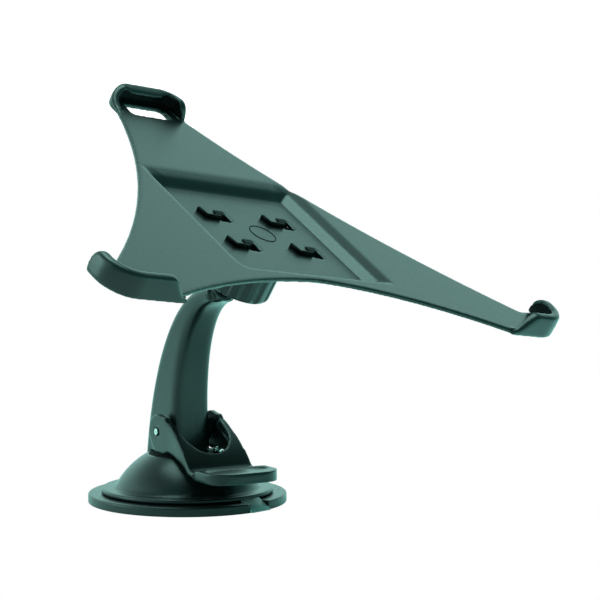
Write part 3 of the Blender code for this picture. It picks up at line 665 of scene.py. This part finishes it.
def sweepWall(bm, wall, outline):
    path = lipPath(wall)
    gone = [0.0]
    for here, after in zip(path, path[1:]):
        gone.append(gone[-1] + (after - here).length)
    rings = []
    for i, here in enumerate(path):
        run = (path[min(i + 1, len(path) - 1)] - path[max(i - 1, 0)]).normalized()
        away = Vector((run.y, -run.x))
        share = 1.0
        for near, (reach, least, gentle) in zip((gone[i], gone[-1] - gone[i]), wall["ends"]):
            if near < reach:
                short = 1 - near / reach
                rise = (1 + cos(pi * short)) / 2 if gentle else sqrt(1 - short ** 2)
                share = min(share, least + (1 - least) * rise)
        h = wall["height"] * share
        hook = 0.4 + (wall["hook"] - 0.4) * eased(1.5, 7.0, h)
        if wall["hook"] > 2:
            hook *= 1 - 0.6 * eased(8.0, 13.0, abs(here.x))
        ring = []
        for out, up in outline(h, hook):
            place = here + away * out
            point = Vector((place.x, place.y, cradleSet["level"] + up))
            ring.append(bm.verts.new(headPlace @ point * mm))
        rings.append(ring)
    made = []
    for here, after in zip(rings, rings[1:]):
        for k in range(len(here)):
            m = (k + 1) % len(here)
            made.append(bm.faces.new((here[k], here[m], after[m], after[k])))
    made += [bm.faces.new(rings[0]), bm.faces.new(rings[-1])]
    bmesh.ops.recalc_face_normals(bm, faces=made)


def cradleWalls(bm):
    # the walls come off the plate and are laid on again with soft tops
    level, (limitX, limitY) = cradleSet["level"], cradleSet["wallLimits"]
    for v in bm.verts:
        x, y, z = headBack @ (v.co / mm)
        if z > level and (abs(x) > limitX or y > limitY):
            v.co = headPlace @ Vector((x, y, level)) * mm
    for wall in lipSet.values():
        sweepWall(bm, wall, wallSection)


def depthFrom(marks):
    # depth left at a distance out, from the slopes at given distances
    def gone(reach):
        total = 0.0
        for (a, first), (b, last) in zip(marks, marks[1:]):
            t = min(max((reach - a) / (b - a), 0.0), 1.0)
            total += (b - a) * (first * t + (last - first) * t * t / 2)
        return total

    whole = gone(1e6)
    return lambda reach: cradleSet["depth"] * (1 - gone(reach) / whole)


rightDepth = depthFrom(cradleSet["rightSlopes"])
backDepth = depthFrom(cradleSet["backSlopes"])


def plainDepth(reach):
    start, run = cradleSet["plainSlope"]
    t = min(max((reach - start) / run, 0.0), 1.0)
    return cradleSet["depth"] * (1 + cos(pi * t)) / 2


def panDepth(x, y):
    a, b, corner = abs(x), abs(y), cradleSet["corner"]
    reach = max(a, b)
    if abs(a - b) < corner:
        reach = (a + b - sqrt(2 * corner ** 2 - (a - b) ** 2)) / 2 + corner
    return plainDepth(reach)


def cradleShape(point):
    x, y, z = headBack @ (point / mm)
    limitX, limitY, limitZ = cradleSet["panLimits"]
    if abs(x) > limitX or abs(y) > limitY or z > limitZ:
        return point
    shiftX, shiftY, halfX, halfY = cradleSet["ribs"]
    for a, b in cradleSet["hooks"]:
        if abs(x - a - shiftX) < halfX and abs(y - b - shiftY) < halfY:
            z = min(z, cradleSet["floor"])
    if x > 0 or y > 0:
        across = rightDepth(x) if x > 0 else plainDepth(-x)
        along = backDepth(y) if y > 0 else plainDepth(-y)
        bevel = max(cradleSet["cutCorner"] - x - y, 0.0) * 0.5
        z += panDepth(x, y) - min(across, along, bevel)
    return headPlace @ Vector((x, y, z)) * mm


softened("cradleMoulding", "cradle", "cradle", absLook, 0.6, 11, cradleShape, cradleWalls)

# a dark sheet inside the walls: painted shade
bm = bmesh.new()
for wall in lipSet.values():
    sweepWall(bm, wall, shadeSheetSection)
shadeSheet = showMesh("lipShadeSheet", bm, shadeNylonLook)
for face in shadeSheet.data.polygons:
    face.use_smooth = True
attach(shadeSheet, "cradle")

# hooks on the pan floor; their black, shineless faces are painted shade
bm = bmesh.new()
for a, b in cradleSet["hooks"]:
    plan = [(a + x, b + y) for x, y in cradleSet["hookPlan"]]
    slab(bm, plan, cradleSet["floor"] - 0.4, cradleSet["hookTop"], headPlace, 0.15)
attach(closedMesh("cradleHooks", bm, shadeNylonLook), "cradle")

# a thin dark ring on the pan floor: its darkness is painted shade
bm = bmesh.new()
ringX, ringY, ringRadius, ringTube = cradleSet["plainRing"]
tube = [(ringRadius + ringTube * cos(t * pi / 6), ringTube * sin(t * pi / 6)) for t in range(12)]
turned(bm, tube, 96, headPlace @ Matrix.Translation((ringX, ringY, cradleSet["floor"])))
attach(closedMesh("cradleRing", bm, shadeNylonLook), "cradle")


# the lever: a thick finger tab with round corners

leverSet = {
    "cornerMiddle": (5.8, -44.4),
    "cornerRadius": 11.0,
    "tabStart": -32.0,
    "tabRun": 7.0,
    "tabHigh": 16.2,
    "halfWidth": 15.4,
    "tabExtra": 1.6,
    "tabSwell": 1.4,
    "pin": (1.2, 30.6),
    "earInside": 12.0,
    "earUnder": (4.0, 7.0),  # below the pin: where the drop begins and is whole
    "earAlong": (5.0, 10.0),  # and how far it runs to each side
    "earDrop": 1.7,
}


def leverShape(point):
    x, y, z = point / mm
    start, high = leverSet["tabStart"], leverSet["tabHigh"]
    tab = eased(start, start - leverSet["tabRun"], y)
    x *= 1 + leverSet["tabSwell"] * tab / leverSet["halfWidth"]
    pinY, pinZ = leverSet["pin"]
    if abs(x) > leverSet["earInside"]:
        begin, whole = leverSet["earUnder"]
        under = eased(pinZ - begin, pinZ - whole, z) * (1 - eased(*leverSet["earAlong"], abs(y - pinY)))
        z -= leverSet["earDrop"] * under
    middle, radius = Vector(leverSet["cornerMiddle"]), leverSet["cornerRadius"]
    out = Vector((abs(x), y)) - middle
    if out.x > 0 and out.y < 0 and out.length > radius:
        out *= radius / out.length
        x = (middle.x + out.x) * (1 if x > 0 else -1)
        y = middle.y + out.y
    z += leverSet["tabExtra"] * tab * eased(high - 0.8, high + 0.8, z)
    return Vector((x, y, z)) * mm


softened("lockLever", "lever", "lever", absLook, 0.5, 12, leverShape)
softened("armMoulding", "arm", "base", absLook, 0.7, 6)


# the claws, kept low in the slots, in the dark matt nylon: painted shade
clawSet = {"off": (5.35, 3.0), "half": (3.6, 4.6), "rise": 0.2, "reach": 1.5, "beyond": 0.5}


def clawShape(point):
    x, y, z = headBack @ (point / mm)
    (offX, offY), (halfX, halfY) = clawSet["off"], clawSet["half"]
    floor, reach = cradleSet["floor"], clawSet["reach"]
    for a, b in cradleSet["hooks"]:
        if abs(x - a - offX) < halfX and abs(y - b - offY) < halfY and z > floor:
            z = floor + (z - floor) * clawSet["rise"]
            y = min(y, b + reach + (y - b - reach) * clawSet["beyond"])
    return headPlace @ Vector((x, y, z)) * mm


softened("clawHead", "claw_head", "head", shadeNylonLook, 0.5, 3, clawShape)
softened("ballStud", "ball_stud", "stud", steelLook, 0.4, 4)
softened("leverPin", "lever_pin", "lever", steelLook, 0.2, 6)
softened("splitRing", "clamp_ring", "ring", acetalLook, 0.4, 3)


# the dome, turned fine, with its two screw holes

domeSet = {
    "outside": (34.96, -9.666, 17.5, 30.4),  # radius, height of its middle, reach from and to
    "inside": (31.76, -9.666, 16.0, 28.6),
    "flange": (
        (31.6, 6.3, 1.4), (36.8, 6.3, 1.3), (36.8, 4.2, 1.0),
        (35.0, 4.2, 0.2), (34.8, 3.3, 0.2), (29.2, 3.3, 0.2),
    ),
    "guide": ((6.3, 17.4, 0.0), (6.3, 13.6, 0.4), (2.9, 13.6, 0.4)),
    "top": (2.9, 20.6, 0.0),
    "hole": (6.2, 14.6, 1.8, 3.0, 17.8),  # x, y, radius, then radius and top of the head's sinking
    "steps": 180,
}


def domeArc(radius, middle, start, end, steps):
    out = []
    for i in range(steps + 1):
        reach = start + (end - start) * i / steps
        out.append((reach, middle + sqrt(radius ** 2 - reach ** 2), 0.0))
    return out


domeSide = [domeSet["top"], *domeArc(*domeSet["outside"], 26), *domeSet["flange"]]
domeSide += [*domeArc(*domeSet["inside"], 12)[::-1], *domeSet["guide"]]
bm = bmesh.new()
turned(bm, filleted(domeSide), domeSet["steps"])
dome = closedMesh("footDome", bm, absLook)
holeX, holeY, holeRadius, headRadius, headTop = domeSet["hole"]
for sign in (-1, 1):
    for radius, top in ((holeRadius, 30.0), (headRadius, headTop)):
        bm = bmesh.new()
        outline = [(0.0, -5.0), (radius, -5.0), (radius, top), (0.0, top)]
        turned(bm, outline, 32, Matrix.Translation((sign * holeX, holeY, 0)))
        cutAway(dome, closedMesh("screwHole", bm, absLook))
attach(dome, "base", "base_dome")


# the pad: a soft disc, thick at its rim, with a tongue to peel it off

padSet = {
    "under": ((0.0, 0.6, 0.0), (30.0, 0.4, 4.0), (38.0, 0.0, 2.0), (42.5, 0.0, 0.5)),
    "top": (
        (42.5, 3.95, 0.9), (35.5, 3.95, 0.5), (35.0, 3.0, 0.4), (28.2, 3.0, 1.0), (26.2, 4.5, 0.6),
    ),
    "recess": ((12.0, 4.5, 0.6), (10.9, 2.9, 0.5), (0.0, 2.9, 0.0)),  # room for the core when it drops
    "tongueTurn": -73.0,
    "tongueHalf": 5.5,
    "tongueSide": ((36.9, 2.6), (36.9, 4.9), (43.7, 0.8), (43.7, 0.3), (41.0, 0.3)),
    "tongueCut": ((36.0, 8.0), (36.0, 4.9), (36.9, 4.9), (44.3, 0.3), (46.0, 0.3), (46.0, 8.0)),
    "steps": 180,
}
bm = bmesh.new()
turned(bm, filleted([*padSet["under"], *padSet["top"], *padSet["recess"]]), padSet["steps"])
tongueTurn = Matrix.Rotation(radians(padSet["tongueTurn"]), 4, "Z")
upright = Matrix(((1, 0, 0, 0), (0, 0, 1, 0), (0, 1, 0, 0), (0, 0, 0, 1)))
tongueHalf = padSet["tongueHalf"]
pad = closedMesh("suctionPad", bm, pvcLook)
bm = bmesh.new()
slab(bm, padSet["tongueCut"], -tongueHalf, tongueHalf, tongueTurn @ upright)
cutAway(pad, closedMesh("tongueCut", bm, pvcLook))
attach(pad, "base", "suction_pad")
# the tongue is pale: painted light on its upturned face
bm = bmesh.new()
slab(bm, padSet["tongueSide"], -tongueHalf, tongueHalf, tongueTurn @ upright, 0.3)
attach(closedMesh("padTongue", bm, tongueLook), "base")

# a dark matt disc between dome and arm: painted shade on the dome's top, which lies in shade there
shadeDiscSet = {"side": ((3.2, 20.5), (16.6, 20.5), (16.6, 20.66), (16.3, 20.74), (3.2, 20.74))}
bm = bmesh.new()
turned(bm, shadeDiscSet["side"], 120)
attach(closedMesh("footShadeDisc", bm, shadeNylonLook), "base")

# a steel rivet on the dome, in front of the arm
rivetSet = {
    "place": (9.9, -8.6, 20.5),
    "side": ((0.0, 0.0), (1.8, 0.0), (1.8, 2.2), (1.4, 3.0), (0.8, 3.4), (0.0, 3.5)),
}
bm = bmesh.new()
turned(bm, rivetSet["side"], 32, Matrix.Translation(rivetSet["place"]))
attach(closedMesh("domeRivet", bm, steelLook), "base")


# the nut: fluted, its lower end round

nutSet = {
    "side": (
        (9.5, -4.7, 0.3), (15.7, -4.7, 2.6), (15.7, 14.5, 1.0),
        (11.7, 14.5, 0.4), (11.7, -3.0, 0.0), (9.5, -3.0, 0.3),
    ),
    "outer": 15.7,
    "bareInside": 12.5,
    "flutes": 14,
    "fluteRadius": 2.6,
    "fluteDepth": 0.9,
    "steps": 14 * 18,
}


def fluteDepth(turn, radius):
    if radius < nutSet["bareInside"]:
        return 0.0
    share = 2 * pi / nutSet["flutes"]
    off = turn % share - share / 2
    away = nutSet["outer"] + nutSet["fluteRadius"] - nutSet["fluteDepth"]
    across = away * sin(off)
    if abs(across) > nutSet["fluteRadius"]:
        return 0.0
    return max(radius - (away * cos(off) - sqrt(nutSet["fluteRadius"] ** 2 - across ** 2)), 0.0)


bm = bmesh.new()
turned(bm, filleted(nutSet["side"], 8), nutSet["steps"], headPlace, fluteDepth)
attach(closedMesh("clampNut", bm, absLook), "nut", "clamp_nut")

for node, look in {
    "pad_core": acetalLook,
    "draw_stem": acetalLook,
    "cam_bush": acetalLook,
    "return_spring": steelLook,
    "spring_washer": steelLook,
    "foot_screw_1": steelLook,
    "foot_screw_2": steelLook,
    "core_screw": steelLook,
    "stud_sleeve": steelLook,
    "pin_clip": steelLook,
}.items():
    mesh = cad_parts[node].data
    mesh.materials.clear()
    mesh.materials.append(look)

print("materials set on the inner pieces")
